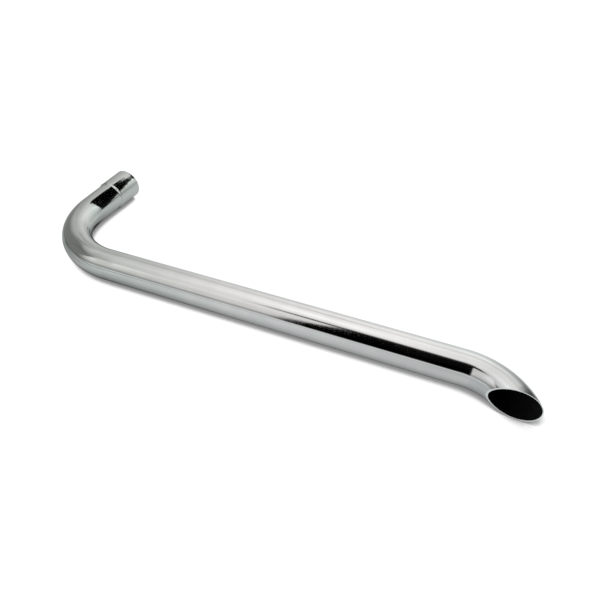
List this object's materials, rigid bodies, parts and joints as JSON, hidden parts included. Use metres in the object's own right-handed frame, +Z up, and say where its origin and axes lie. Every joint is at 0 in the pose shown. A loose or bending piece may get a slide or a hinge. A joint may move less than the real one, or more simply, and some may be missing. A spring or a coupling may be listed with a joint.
{
  "type": "exhaust side pipe",
  "caption": "Chromed side exhaust pipe: a long straight tube with a right-angle inlet bend ending in a slip-on socket, and a turned-out outlet cut off at a slash.",
  "frame": {"origin": "centre of the pipe's box seen from above, on the surface that the pipe lies on", "axes": "+X along the straight run from the inlet bend to the outlet, +Y the way the inlet leg points, out of its socket, +Z up"},
  "size_m": [1.0594, 0.3428, 0.067],
  "materials": {
    "chrome": "bright chrome plate on polished steel tube, soot-black inside"
  },
  "bodies": {
    "root": {"side_pipe": "chrome"}
  },
  "joints": []
}
